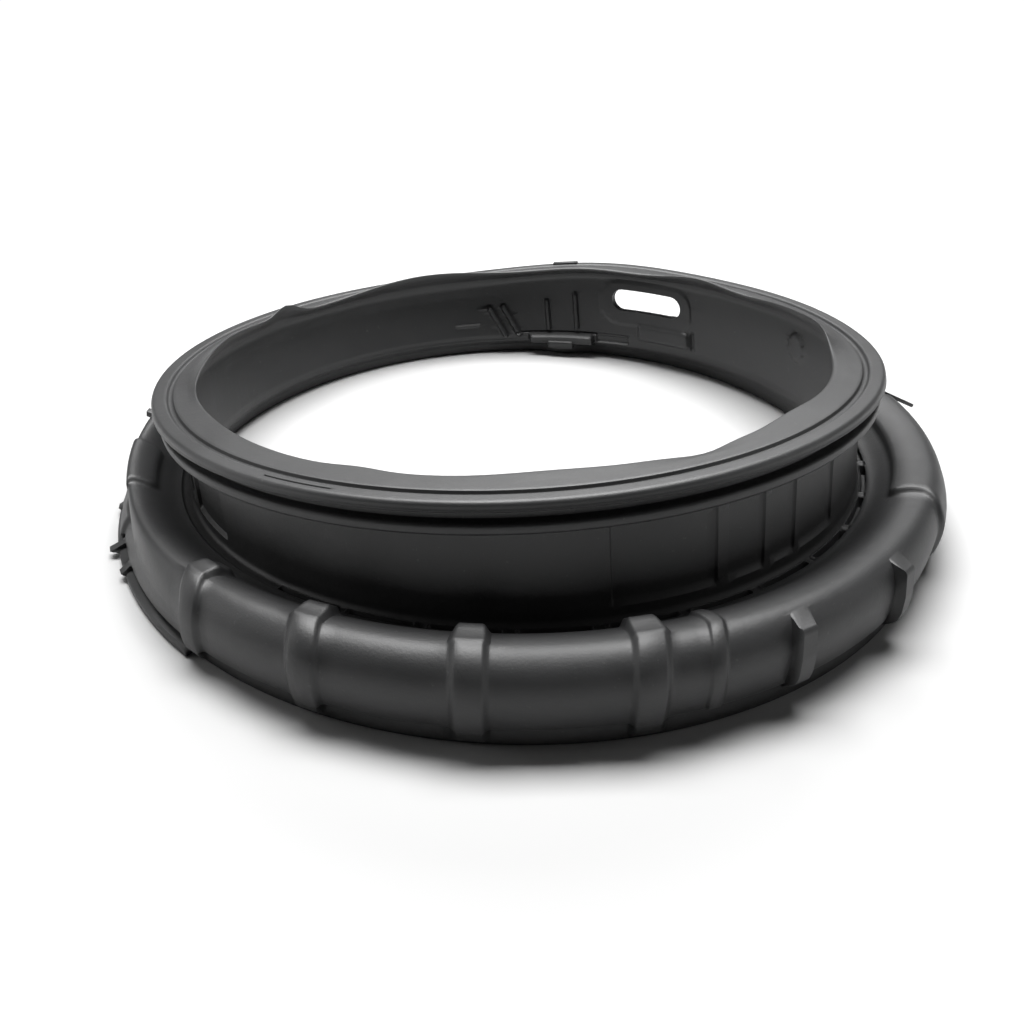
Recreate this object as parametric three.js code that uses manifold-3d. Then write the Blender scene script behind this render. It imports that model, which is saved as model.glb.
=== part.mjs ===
// Door seal of a front-loading washing machine: one moulded rubber bellows.
// Millimetres, +Z up. It lies on its drum side, centred on the roll, as it comes out of its bag.
// Every form is drawn on a true ring first. Then the soft ring is settled: it leans, tilts and waves.
import * as THREE from 'three';
import { mergeVertices } from 'three/addons/utils/BufferGeometryUtils.js';
import Module from 'manifold-3d';

const wasm = await Module();
wasm.setup();

// Main ring sizes: every other ring is set from the neck by its own distance
const ringSteps = 60;
const wall = 4;
const neckRadius = 178.5;
const faceHeight = 71.2;
const faceReach = 11.5;
const faceRadius = neckRadius + faceReach;

// Lip inside the door face
const lipReach = 14;
const lipTaper = 7.5;
const lipThickness = 2.4;
const lipRadius = neckRadius - lipReach;
const lipRoot = lipRadius + lipTaper;

// Bead and groove on the door face
const beadWidth = 8.2;
const beadRound = 2;
const grooveWidth = 2.6;
const grooveDepth = 1.7;
const grooveRadius = faceRadius - beadWidth - grooveWidth;

// Clamp groove under the face, with the lip below it
const rimHeight = 4.5;
const clampGap = 5.4;
const clampDepth = 6.5;
const clampRadius = faceRadius - clampDepth;
const lowerLipSet = 2;
const lowerLipRadius = faceRadius - lowerLipSet;
const lowerLipHeight = 4.6;

// Valley between neck and roll
const valleyHeight = 20;
const valleyWidth = 5.9;
const valleyRadius = neckRadius + valleyWidth;
const valleyFillet = 1.6;

// Foot that seats on the drum
const footReach = 30.1;
const footRadius = valleyRadius + footReach;
const footHeight = 3.2;
const footWidth = 7;

// Hollow roll that stands over the foot
const rollReach = 5;
const rollHalf = 14;
const rollRadius = footRadius + rollReach;
const crownRadius = rollRadius - rollHalf;
const crownHeight = 33.5;
const rollMiddle = 16.5;
const crownEase = 9.5;
const valleyEase = 7.5;
const hollowEnd = 0.85;

// Leg under the neck, inside the roll
const legReach = 6;
const legWidth = 4.6;
const legRadius = neckRadius + legReach;
const legEnd = legRadius + legWidth + 2;

// Straps, collars and fins on the roll
const strapWidth = 12.8;
const strapRise = 2.4;
const strapEnd = 0.4;
const strapFoot = 2;
const strapAngles = [-130.8, -113.6, -95.8, -77.6, 40, 58, 76, 94, 112, 130, 148];
const lowStrap = { angle: -70.4, width: 6.5, rise: 1 };
const collars = [{ from: -26, to: 22 }, { from: -173, to: -160 }];
const finAngles = [-60.2, -42.6];
const finWidth = 7;
const finReach = 4.5;
const finTop = 32;
const finFoot = 5;
const finLean = 3;

// Foot flange and small fins on the left, and the tag on the right
const footFlange = { from: -174, to: -131, reach: 4.5, height: 4 };
const footFins = [{ angle: -158, reach: 5 }, { angle: -152, reach: 2.5 }, { angle: -169, reach: 2 }];
const footFinWidth = 6;
const footFinHeight = 8;
const shoulderFin = { angle: 175, rootAngle: 52, sunk: 2, length: 9, width: 5, thickness: 3, slope: 12 };
const tag = { angle: 8.5, rootAngle: 85, sunk: -2.6, length: 26, width: 1.8, thickness: 2.4, slope: -24 };

// Pockets in the valley
const pocketCount = 31;
const plainValley = { from: -177, to: -129 };
const pocketStart = -23.3;
const pocketSpan = 9.4;
const pocketWidth = 3;
const pocketDepth = 1.7;

// Sunk panels on the outside of the neck
const panelSpans = [
  [-78.4, -63.1], [-61.1, -54.7], [-53.3, -48.1], [-46.9, -37.4],
  [-151.8, -139.6], [-158.6, -153.7],
];
const panelDepth = 1.1;
const panelSill = 5.5;

// Water slot through the neck
const slot = { angle: 59.7, height: 50.5, length: 50, width: 14.2 };

// Reliefs inside the neck
const slantRibs = [{ angle: 95.1, height: 35 }, { angle: 91.9, height: 35.3 }];
const slantRib = { length: 28, width: 2.6, rise: 3, slope: -22 };
const uprightRibs = [{ angle: 83.3, from: 27, to: 50 }, { angle: 76.7, from: 28, to: 54 }];
const uprightRib = { width: 1.8, rise: 2 };
const ledge = { from: 64.5, to: 90, bottom: 20.8, height: 3.4, rise: 5.5 };
const ledgeTab = { from: 77.6, to: 83.9, drop: 7.5, rise: 6.5 };
const pad = { from: 49.6, to: 60.3, bottom: 24.7, height: 8.4, rise: 1.6 };
const bracket = { from: 99.2, to: 105, bottom: 32.4, height: 1.6, rise: 1.1 };
const boss = { angle: 18, height: 51, radius: 7.8, rise: 1.4 };

// Low tab on the rim at the back
const rimTab = { angle: 79, width: 17, depth: 4.5, rise: 1.3 };

// How the soft ring settles on the floor: slopes in mm per mm, lean in mm at the face
const faceTilt = { x: 0.049, y: -0.100 };
const valleyTilt = { x: 0.015, y: -0.053 };
const rollTilt = { x: 0.021, y: -0.038 };
const faceLean = { x: -4.8, y: 10.9 };
const stiffHeight = 57;
const crownTwist = 2.2;
const rollWaves = [
  { angle: -92, spread: 42, lift: 1, reach: 0, crown: -2 },
  { angle: -165, spread: 28, lift: 0, reach: -10, crown: 8 },
  { angle: 172, spread: 20, lift: 5, reach: 0, crown: 0 },
  { angle: 0, spread: 45, lift: -3, reach: 0, crown: 5 },
  { angle: 66, spread: 34, lift: -5, reach: 0, crown: 0 },
];
const legWaves = [{ angle: 112, spread: 42, reach: -6.5 }];
const faceWaves = [{ angle: 72, spread: 22, lift: 5 }, { angle: 2, spread: 30, lift: -2.5 }];
const lipWaves = [
  { angle: -162, spread: 12, reach: 3, lift: 0 },
  { angle: -113, spread: 5, reach: -2.6, lift: 0 },
  { angle: -85, spread: 10, reach: -3.2, lift: 0 },
  { angle: -63, spread: 5, reach: 4, lift: 0 },
  { angle: -42, spread: 8, reach: -2.8, lift: 0 },
  { angle: 5, spread: 9, reach: 2.5, lift: 4.5 },
  { angle: 46, spread: 9, reach: 0, lift: 1.5 },
  { angle: 108, spread: 15, reach: 0, lift: 4 },
  { angle: 136, spread: 6, reach: 0, lift: -2 },
  { angle: 147, spread: 5, reach: 0, lift: 5 },
];

const radians = THREE.MathUtils.degToRad;
const at = (radius, height) => new THREE.Vector2(radius, height);

// A round stretch of the section, angles in degrees from the outward direction.
function arc(centre, across, up, from, to, steps) {
  return Array.from({ length: steps + 1 }, (_, i) => {
    const angle = radians(from + ((to - from) * i) / steps);
    return at(centre.x + across * Math.cos(angle), centre.y + up * Math.sin(angle));
  });
}

// The roll's skin from its outer foot over the crown and down a soft flank to the valley.
// An inset moves the whole line inwards, and a negative one outwards.
function rollSkin(inset, outerSteps, innerSteps, lowAngle = -30, flankEnd = 1) {
  const shoulder = at(crownRadius, rollMiddle);
  const across = rollRadius - crownRadius - inset;
  const up = crownHeight - rollMiddle - inset;
  const flank = new THREE.CubicBezierCurve(
    at(crownRadius, crownHeight),
    at(crownRadius - crownEase, crownHeight),
    at(valleyRadius + valleyEase, valleyHeight + 1),
    at(valleyRadius, valleyHeight + 1),
  );
  const inwards = Array.from({ length: innerSteps }, (_, i) => {
    const travelled = (flankEnd * (i + 1)) / innerSteps;
    const point = flank.getPoint(travelled);
    const along = flank.getTangent(travelled);
    return at(point.x - inset * along.y, point.y + inset * along.x);
  });
  return [...arc(shoulder, across, up, lowAngle, 90, outerSteps), ...inwards];
}

// Neck and roll in section, run round once with the outside on the right.
function sectionOutline() {
  const face = faceHeight;
  const rimBottom = face - rimHeight;
  const lowerLipTop = rimBottom - clampGap;
  const lowerLipBottom = lowerLipTop - lowerLipHeight;
  const innerRadius = neckRadius - wall;
  const grooveEnd = grooveRadius + grooveWidth;
  const foot = [at(footRadius - footWidth, 0), at(footRadius, 0), at(footRadius, footHeight)];
  const roll = [at(rollRadius - 1.8, footHeight), ...rollSkin(0, 7, 5)];
  const valley = [
    at(valleyRadius - 0.8, valleyHeight),
    at(neckRadius + valleyFillet, valleyHeight),
    at(neckRadius, valleyHeight + valleyFillet),
  ];
  const lowerLip = [
    at(neckRadius, lowerLipBottom - 2.5),
    at(neckRadius + 2, lowerLipBottom - 0.6),
    at(lowerLipRadius - 0.8, lowerLipBottom),
    at(lowerLipRadius, lowerLipBottom + 1),
    at(lowerLipRadius, lowerLipTop - 0.8),
    at(lowerLipRadius - 1, lowerLipTop),
  ];
  const rim = [
    at(clampRadius, lowerLipTop + 0.6),
    at(clampRadius, rimBottom - 0.6),
    at(faceRadius - 0.6, rimBottom),
    at(faceRadius + 0.4, rimBottom + 0.7),
    at(faceRadius, rimBottom + 1.6),
    ...arc(at(faceRadius - beadRound, face - beadRound), beadRound, beadRound, 0, 90, 3),
  ];
  const groove = [
    at(grooveEnd + 0.7, face),
    at(grooveEnd - 0.2, face - grooveDepth),
    at(grooveRadius + 0.3, face - grooveDepth),
    at(grooveRadius, face),
  ];
  const lip = [
    at(lipRoot, face),
    at(lipRadius + 1, face - 0.2),
    at(lipRadius, face - lipThickness / 2),
    at(lipRadius + 1, face - lipThickness),
    at(innerRadius - 2.5, face - lipThickness - 1.4),
    at(innerRadius, face - lipThickness - 4.5),
  ];
  const leg = [
    at(innerRadius, valleyHeight + 3),
    at(innerRadius + 1.4, valleyHeight - 2),
    at(innerRadius + 6, valleyHeight - 9),
    at(legRadius, 0),
    at(legRadius + legWidth, 0),
    at(valleyRadius + 2, valleyHeight - wall - 3),
  ];
  const hollow = rollSkin(wall, 4, 3, -45, hollowEnd).reverse();
  return [...foot, ...roll, ...valley, ...lowerLip, ...rim, ...groove, ...lip, ...leg, ...hollow];
}

// A closed geometry as a solid that can be joined and cut.
function solidOf(geometry) {
  const bare = geometry.index ? geometry.toNonIndexed() : geometry.clone();
  bare.deleteAttribute('normal');
  bare.deleteAttribute('uv');
  const merged = mergeVertices(bare, 1e-4);
  return new wasm.Manifold(
    new wasm.Mesh({
      numProp: 3,
      vertProperties: new Float32Array(merged.attributes.position.array),
      triVerts: new Uint32Array(merged.index.array),
    }),
  );
}

// The section turned round the +Z axis.
function bodySolid() {
  const outline = sectionOutline();
  const ring = new THREE.LatheGeometry([...outline, outline[0].clone()], ringSteps);
  return solidOf(ring.rotateX(Math.PI / 2));
}

// A block that follows the ring, between two radii, two angles in degrees and two heights.
function sector(inner, outer, from, to, low, high) {
  const span = radians(to - from);
  const shape = new THREE.Shape();
  shape.absarc(0, 0, outer, radians(from), radians(to), false);
  shape.absarc(0, 0, inner, radians(to), radians(from), true);
  const steps = Math.max(1, Math.ceil(span / radians(6)));
  const tall = { depth: high - low, bevelEnabled: false, curveSegments: steps };
  return solidOf(new THREE.ExtrudeGeometry(shape, tall).translate(0, 0, low));
}

// A plate of a given width, whose outline is drawn in the section plane at one angle.
function plate(outline, width, angle) {
  const thick = new THREE.ExtrudeGeometry(new THREE.Shape(outline), { depth: width, bevelEnabled: false });
  thick.translate(0, 0, -width / 2);
  thick.rotateX(Math.PI / 2);
  return solidOf(thick.rotateZ(radians(angle)));
}

// A box on the ring: radial depth, width round the ring and height, turned by a slope in the wall's plane.
function block(radius, angle, height, depth, width, tall, slope = 0) {
  const box = new THREE.BoxGeometry(depth, width, tall);
  box.rotateX(radians(slope));
  box.translate(radius, 0, height);
  return solidOf(box.rotateZ(radians(angle)));
}

// Band over the roll, drawn from the roll's own skin.
function strapOutline(rise, low) {
  const outside = rollSkin(-rise, 6, 2, -38, strapEnd);
  const inside = rollSkin(wall / 2, 3, 1, -30, strapEnd).reverse();
  return [at(footRadius - 3, low), at(footRadius + 1, low), ...outside, ...inside];
}

function straps() {
  const full = strapOutline(strapRise, strapFoot);
  const low = strapOutline(lowStrap.rise, footHeight);
  return [
    ...strapAngles.map((angle) => plate(full, strapWidth, angle)),
    plate(low, lowStrap.width, lowStrap.angle),
  ];
}

// A wide band is the strap's own section carried round the ring.
function collarSolids() {
  return collars.map(({ from, to }) => {
    const shape = new THREE.Shape(strapOutline(strapRise, strapFoot));
    const steps = Math.ceil((to - from) / 6);
    const band = new THREE.ExtrudeGeometry(shape, { depth: 1, steps, bevelEnabled: false });
    const place = band.attributes.position;
    for (let i = 0; i < place.count; i++) {
      const radius = place.getX(i);
      const angle = radians(to + (from - to) * place.getZ(i));
      place.setXYZ(i, radius * Math.cos(angle), radius * Math.sin(angle), place.getY(i));
    }
    return solidOf(band);
  });
}

// Short ribs that stand out of the roll's side, nearly upright outside and level at the top.
function fins() {
  const outer = rollRadius + finReach;
  const inner = crownRadius + 4;
  const outline = [
    at(inner, finFoot),
    at(footRadius, finFoot - 1),
    at(outer - 1.5, finFoot + 4),
    at(outer, finFoot + 7),
    at(outer, rollMiddle + 2),
    at(outer - finLean, finTop - 1.5),
    at(outer - finLean - 1.5, finTop),
    at(inner, finTop),
  ];
  return finAngles.map((angle) => plate(outline, finWidth, angle));
}

// A strip that grows out of the roll's shoulder. Its root is sunk into the skin, or lies on a band.
function slip({ angle, rootAngle, sunk, length, width, thickness, slope }) {
  const across = rollRadius - crownRadius - sunk;
  const up = crownHeight - rollMiddle - sunk;
  const root = arc(at(crownRadius, rollMiddle), across, up, rootAngle, rootAngle, 1)[0];
  const strip = new THREE.BoxGeometry(length, width, thickness).translate(length / 2, 0, 0);
  strip.rotateY(radians(-slope));
  strip.translate(root.x, 0, root.y);
  return solidOf(strip.rotateZ(radians(angle)));
}

function footFlangeSolids() {
  const { from, to, reach, height } = footFlange;
  const radius = footRadius + reach;
  const edge = sector(footRadius - 3, radius, from, to, 0, height);
  const points = footFins.map((fin) => {
    const outline = [
      at(radius - 8, 0.5),
      at(radius + fin.reach, height),
      at(radius - 2, footFinHeight),
      at(radius - 8, footFinHeight),
    ];
    return plate(outline, footFinWidth, fin.angle);
  });
  return [edge, ...points, slip(shoulderFin), slip(tag)];
}

function pocketCutters() {
  const middle = (neckRadius + valleyFillet + valleyRadius) / 2;
  const pitch = 360 / pocketCount;
  const starts = Array.from({ length: pocketCount }, (_, i) => pocketStart - i * pitch);
  const outsidePlain = (start) => start - pocketSpan > plainValley.to || start < plainValley.from;
  return starts.filter(outsidePlain).map((start) => {
    const inner = middle - pocketWidth / 2;
    const floor = valleyHeight - pocketDepth;
    return sector(inner, inner + pocketWidth, start - pocketSpan, start, floor, valleyHeight + 4);
  });
}

function panelCutters() {
  const top = faceHeight - rimHeight - clampGap - lowerLipHeight - 3;
  return panelSpans.map(([from, to]) =>
    sector(neckRadius - panelDepth, neckRadius + 3, from, to, valleyHeight + panelSill, top));
}

// Rounded slot, cut straight through the wall and the root of the lip outside it.
function slotCutter() {
  const half = slot.length / 2 - slot.width / 2;
  const shape = new THREE.Shape();
  shape.absarc(half, 0, slot.width / 2, -Math.PI / 2, Math.PI / 2, false);
  shape.absarc(-half, 0, slot.width / 2, Math.PI / 2, Math.PI * 1.5, false);
  const depth = faceRadius - lipRadius + 6;
  const cutter = new THREE.ExtrudeGeometry(shape, { depth, bevelEnabled: false, curveSegments: 6 });
  cutter.rotateX(Math.PI / 2);
  cutter.rotateZ(Math.PI / 2);
  cutter.translate(lipRadius - 3, 0, slot.height);
  return solidOf(cutter.rotateZ(radians(slot.angle)));
}

// Reliefs on the inner wall, each sunk into the wall by half its thickness.
function innerReliefs() {
  const inside = neckRadius - wall;
  const sunk = wall / 2;
  const onWall = ({ rise, from, to }, low, high) => sector(inside - rise, inside + sunk, from, to, low, high);
  const slants = slantRibs.map(({ angle, height }) =>
    block(inside + (sunk - slantRib.rise) / 2, angle, height, slantRib.rise + sunk, slantRib.width,
      slantRib.length, slantRib.slope));
  const uprights = uprightRibs.map(({ angle, from, to }) =>
    block(inside + (sunk - uprightRib.rise) / 2, angle, (from + to) / 2, uprightRib.rise + sunk,
      uprightRib.width, to - from));
  const disc = new THREE.CylinderGeometry(boss.radius, boss.radius, boss.rise + sunk, 20);
  disc.rotateZ(Math.PI / 2);
  disc.translate(inside + (sunk - boss.rise) / 2, 0, boss.height);
  return [
    ...slants,
    ...uprights,
    onWall(ledge, ledge.bottom, ledge.bottom + ledge.height),
    onWall(ledgeTab, ledge.bottom - ledgeTab.drop, ledge.bottom + 1),
    onWall(pad, pad.bottom, pad.bottom + pad.height),
    onWall(bracket, bracket.bottom, bracket.bottom + bracket.height),
    block(faceRadius - rimTab.depth / 2 - beadRound, rimTab.angle, faceHeight, rimTab.depth, rimTab.width,
      2 * rimTab.rise),
    solidOf(disc.rotateZ(radians(boss.angle))),
  ];
}

// The sum of one measure over smooth humps round the ring, each 1 at its angle and fading over its spread.
function sumOf(waves, measure, degrees) {
  return waves.reduce((sum, wave) => {
    const apart = ((((degrees - wave.angle) % 360) + 540) % 360) - 180;
    return sum + wave[measure] * Math.exp(-((apart / wave.spread) ** 2));
  }, 0);
}

const mix = THREE.MathUtils.lerp;
const share = (value, from, to) => THREE.MathUtils.clamp((value - from) / (to - from), 0, 1);

// Moves one point of the true ring to where the soft ring settles.
function settle(x, y, z) {
  const radius = Math.hypot(x, y);
  const degrees = THREE.MathUtils.radToDeg(Math.atan2(y, x));
  const below = z < stiffHeight - 5;
  const onRoll = below ? THREE.MathUtils.smoothstep(radius, valleyRadius, crownRadius) : 0;
  const fromFloor = share(z, 0, valleyHeight);
  const upNeck = share(z, valleyHeight, stiffHeight);
  const slope = (axis) => {
    const neck = mix(fromFloor * valleyTilt[axis], faceTilt[axis], upNeck);
    return mix(neck, share(z, 0, rollMiddle) * rollTilt[axis], onRoll);
  };
  const lean = (1 - onRoll) * share(z, rollMiddle, faceHeight);
  const outwards = below ? share(radius, valleyRadius, rollRadius) : 0;
  const upRoll = share(z, 0, crownHeight);
  const askew = y < 0 ? -radians(crownTwist) * Math.sin(2 * radians(degrees)) : 0;
  const turn = askew * onRoll * (1 - share(radius, crownRadius, rollRadius));
  const onLeg = below ? (1 - share(z, 0, valleyHeight)) * (1 - share(radius, legEnd, legEnd + wall)) : 0;
  const onLip = z > stiffHeight ? 1 - share(radius, lipRadius, lipRoot) : 0;
  const reach = onLip * sumOf(lipWaves, 'reach', degrees)
    + onLeg * sumOf(legWaves, 'reach', degrees)
    + outwards * share(z, footHeight, rollMiddle) * sumOf(rollWaves, 'reach', degrees)
    + Math.sin(Math.PI * outwards) * upRoll * sumOf(rollWaves, 'crown', degrees);
  const lift = onLip ** 2 * sumOf(lipWaves, 'lift', degrees)
    + (1 - onRoll) * upNeck * sumOf(faceWaves, 'lift', degrees)
    + onRoll * upRoll * sumOf(rollWaves, 'lift', degrees);
  return [
    x + (reach * x) / radius - turn * y + lean * faceLean.x,
    y + (reach * y) / radius + turn * x + lean * faceLean.y,
    z + slope('x') * x + slope('y') * y + lift,
  ];
}

// Everything that is joined or cut, then settled point by point.
function sealGeometry() {
  let seal = bodySolid();
  for (const piece of [...straps(), ...collarSolids(), ...fins(), ...footFlangeSolids(), ...innerReliefs()])
    seal = seal.add(piece);
  for (const cutter of [...pocketCutters(), ...panelCutters(), slotCutter()]) seal = seal.subtract(cutter);
  const mesh = seal.getMesh();
  const points = new Float32Array(mesh.numVert * 3);
  for (let i = 0; i < mesh.numVert; i++) {
    const [x, y, z] = mesh.vertProperties.subarray(i * mesh.numProp, i * mesh.numProp + 3);
    points.set(settle(x, y, z), i * 3);
  }
  const geometry = new THREE.BufferGeometry();
  geometry.setAttribute('position', new THREE.BufferAttribute(points, 3));
  geometry.setIndex(new THREE.BufferAttribute(new Uint32Array(mesh.triVerts), 1));
  geometry.computeVertexNormals();
  geometry.computeBoundingBox();
  const middle = geometry.boundingBox.getCenter(new THREE.Vector3());
  return geometry.translate(-middle.x, -middle.y, 0);
}

const rubber = new THREE.MeshStandardMaterial({ color: 0x4a4b4d, roughness: 0.62, metalness: 0 });

const group = new THREE.Group();
const seal = new THREE.Mesh(sealGeometry(), rubber);
seal.name = 'door_seal';
group.add(seal);

export default group;
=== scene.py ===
import math
import bmesh
import bpy
import numpy as np
from mathutils import Matrix, Vector


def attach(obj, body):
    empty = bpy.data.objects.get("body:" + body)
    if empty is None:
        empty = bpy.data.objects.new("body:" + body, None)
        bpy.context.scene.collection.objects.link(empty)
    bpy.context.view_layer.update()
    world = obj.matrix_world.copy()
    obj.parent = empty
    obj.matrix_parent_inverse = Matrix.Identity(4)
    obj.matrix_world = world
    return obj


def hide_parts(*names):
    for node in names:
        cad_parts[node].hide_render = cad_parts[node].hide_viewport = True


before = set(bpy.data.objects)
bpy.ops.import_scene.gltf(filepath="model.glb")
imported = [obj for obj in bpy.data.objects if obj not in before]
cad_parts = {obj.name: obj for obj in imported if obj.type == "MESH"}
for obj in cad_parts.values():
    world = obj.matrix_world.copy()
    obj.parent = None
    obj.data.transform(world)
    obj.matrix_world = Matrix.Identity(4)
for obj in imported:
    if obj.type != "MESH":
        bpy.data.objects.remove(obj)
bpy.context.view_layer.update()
print("stage: frame loaded")

millimetre = 0.001

# The door seal is drawn on a true ring in millimetres, then a node tree settles it as a soft ring does.
ring = {
    "faceHeight": 71.18, "faceRadius": 190.0, "faceFlat": (186.4, 185.2), "neckRadius": 178.5, "wall": 4.0,
    "lipRadius": 164.5, "lipRoot": 172.0, "lipThickness": 2.4,
    "grooveRadius": 179.2, "grooveWidth": 2.6, "grooveDepth": 1.7, "bead": 2.0,
    "rimHeight": 4.5, "clampGap": 5.4, "clampRadius": 183.5, "lowerLip": 188.0, "lowerLipHeight": 4.6,
    "valleyHeight": 20.0, "valleyRadius": 184.4, "crownRadius": 205.5, "crownHeight": 33.5,
    "rollRadius": 219.5, "rollMiddle": 16.5, "crownEase": 9.5, "valleyEase": 7.5,
    "footRadius": 214.5, "footHeight": 3.2, "footTop": 6.6, "footWidth": 7.0, "leg": 184.5, "legWidth": 4.6,
}

# Small tapers and corner cuts of the section, outwards and upwards
ease = {
    "footTaper": 1.2, "footShoulder": (2.2, 0.5), "legTop": (2.0, 3.0), "valleyEnd": 0.8, "valleyCorner": 1.6,
    "neckCorner": (2.0, 2.5), "lipDraught": 0.6, "lipUnder": (0.8, 1.0), "lipOver": (1.0, 0.8),
    "rimBulge": (0.6, 0.4, 0.7, 1.6), "grooveEnd": (0.7, 0.2), "grooveStart": 0.3, "lipNose": (1.0, 0.2),
    "lipBack": (2.5, 1.4), "insideTop": 4.5, "insideLow": 3.0, "insideBend": (1.4, 2.0),
    "insideEnd": (6.0, 9.0), "cutShare": 0.42, "leastCut": 0.05,
}

# Rounding at the corners of each stretch of the section, and its longest step
finish = {
    "foot": (0.8, 0.9), "roll": (0, 2), "valley": (0.7, 0.55), "neck": (0.8, 1.5), "under": (0.7, 4),
    "rim": (0.4, 3), "bead": (0, 3), "face": (0.8, 1), "lip": (0.7, 1.6), "inside": (1.2, 1.15),
    "leg": (1.5, 4), "hollow": (0, 6), "sole": (0.6, 3),
}

# Slopes in mm per mm, lean in mm at the face, and the soft waves of roll, face, leg and lip by angle
soft = {
    "faceTilt": (0.049, -0.100), "valleyTilt": (0.015, -0.053), "rollTilt": (0.021, -0.038),
    "faceLean": (-4.8, 10.9), "stiffHeight": 57.0, "stiffEase": 5.0, "curlTop": 66.0, "legClear": 2.0,
    "crownTwist": 2.2, "centre": (-5.487, -0.206),
    "rollWaves": [
        {"angle": -92, "spread": 42, "lift": 1, "crown": -2},
        {"angle": -165, "spread": 28, "reach": -10, "crown": 8},
        {"angle": 172, "spread": 20, "lift": 5},
        {"angle": 0, "spread": 45, "lift": -3, "crown": 5},
        {"angle": 66, "spread": 34, "lift": -5},
    ],
    "faceWaves": [{"angle": 72, "spread": 22, "lift": 5}, {"angle": 2, "spread": 30, "lift": -2.5}],
    "legWaves": [{"angle": 112, "spread": 42, "reach": -6.5}, {"angle": 80.5, "spread": 4, "reach": -4}],
    "lipWaves": [
        {"angle": -162, "spread": 12, "reach": 3}, {"angle": -113, "spread": 5, "reach": -2.6},
        {"angle": -85, "spread": 10, "reach": -3.2}, {"angle": -63, "spread": 5, "reach": 4},
        {"angle": -42, "spread": 8, "reach": -2.8}, {"angle": 5, "spread": 9, "reach": 2.5},
    ],
    "lipCurls": [
        {"angle": 172, "spread": 24, "lift": 7.9}, {"angle": 149, "spread": 4.5, "lift": 6.9},
        {"angle": 112, "spread": 20, "lift": 8.7}, {"angle": 75, "spread": 12, "lift": 2.1},
        {"angle": 45, "spread": 11, "lift": 6.2}, {"angle": 20, "spread": 12, "lift": 5.2},
        {"angle": 4, "spread": 11, "lift": 5.7},
    ],
}


def addObject(label, data):
    thing = bpy.data.objects.new(label, data)
    bpy.context.scene.collection.objects.link(thing)
    return thing


def setInputs(node, values):
    for name, value in values.items():
        node.inputs[name].default_value = value


def arcPoints(centre, across, up, start, end, steps):
    turns = np.radians(np.linspace(start, end, steps + 1))
    return [(centre[0] + across * math.cos(t), centre[1] + up * math.sin(t)) for t in turns]


# The roll's skin from the foot over the crown and down the flank to the valley, moved inwards by an inset.
def rollSkin(inset, outerSteps, innerSteps, lowAngle, flankEnd):
    outer = arcPoints((ring["crownRadius"], ring["rollMiddle"]),
                      ring["rollRadius"] - ring["crownRadius"] - inset,
                      ring["crownHeight"] - ring["rollMiddle"] - inset, lowAngle, 90, outerSteps)
    a = np.array([ring["crownRadius"], ring["crownHeight"]])
    d = np.array([ring["valleyRadius"], ring["valleyHeight"] + 1])
    b, c = a - (ring["crownEase"], 0), d + (ring["valleyEase"], 0)
    flank = []
    for t in np.linspace(0, flankEnd, innerSteps + 1)[1:]:
        point = (1 - t) ** 3 * a + 3 * (1 - t) ** 2 * t * b + 3 * (1 - t) * t * t * c + t ** 3 * d
        along = (1 - t) ** 2 * (b - a) + 2 * (1 - t) * t * (c - b) + t * t * (d - c)
        along /= np.hypot(*along)
        flank.append((point[0] - inset * along[1], point[1] + inset * along[0]))
    return outer + flank


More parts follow.
